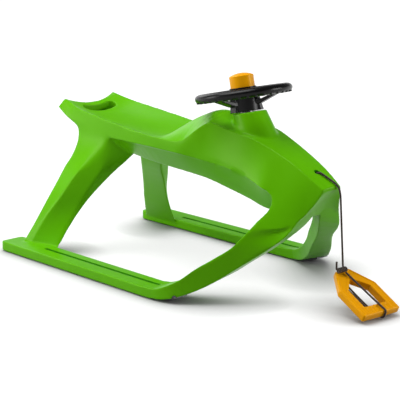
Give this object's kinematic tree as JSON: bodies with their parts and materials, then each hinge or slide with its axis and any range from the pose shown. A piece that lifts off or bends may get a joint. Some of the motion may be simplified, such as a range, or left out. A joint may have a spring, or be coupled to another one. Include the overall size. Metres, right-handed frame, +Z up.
{
  "type": "steering sled",
  "caption": "Child's moulded plastic snow sled on two curled runners, with a turning steering wheel, a press horn, steel glide rails and a pull cord with a frame handle.",
  "frame": {"origin": "on the ground under the middle of the sled, without its cord", "axes": "+X to the nose, +Y to the rider's left, +Z up"},
  "size_m": [0.9239, 0.482, 0.441],
  "materials": {
    "body_plastic": "satin green polyethylene",
    "rail_steel": "dull steel strip",
    "screw_steel": "zinc-plated steel",
    "shaft_steel": "turned steel bar",
    "bush_nylon": "natural nylon",
    "wheel_plastic": "satin black plastic",
    "horn_plastic": "gloss orange plastic",
    "handle_plastic": "satin orange-yellow plastic",
    "cord_fibre": "dark braided cord"
  },
  "bodies": {
    "sled": {"moulded_body": "body_plastic", "left_glide_rail": "rail_steel", "right_glide_rail": "rail_steel", "rail_screws": "screw_steel", "upper_bush": "bush_nylon", "lower_bush": "bush_nylon", "pull_cord": "cord_fibre", "stopper_knot": "cord_fibre", "handle_knot": "cord_fibre", "cord_winding": "cord_fibre", "pull_handle": "handle_plastic"},
    "steering": {"steering_wheel": "wheel_plastic", "steering_shaft": "shaft_steel", "thrust_washer": "screw_steel", "lock_washer": "screw_steel", "lock_nut": "screw_steel", "wheel_screw": "screw_steel", "horn_collar": "wheel_plastic", "collar_screws": "screw_steel", "horn_squeaker": "bush_nylon", "horn_spring": "screw_steel"},
    "horn": {"horn_cap": "horn_plastic"}
  },
  "joints": [
    {"name": "wheel_turn", "type": "hinge", "parent": "sled", "child": "steering", "pos_m": [0.152, 0, 0.3595], "axis": [-0.2079, 0, 0.9781], "continuous": true},
    {"name": "horn_press", "type": "slide", "parent": "steering", "child": "horn", "axis": [0.2079, 0, -0.9781], "range_m": [0, 0.004], "stiffness_N_per_m": 400, "deforming": ["horn_spring"]}
  ]
}
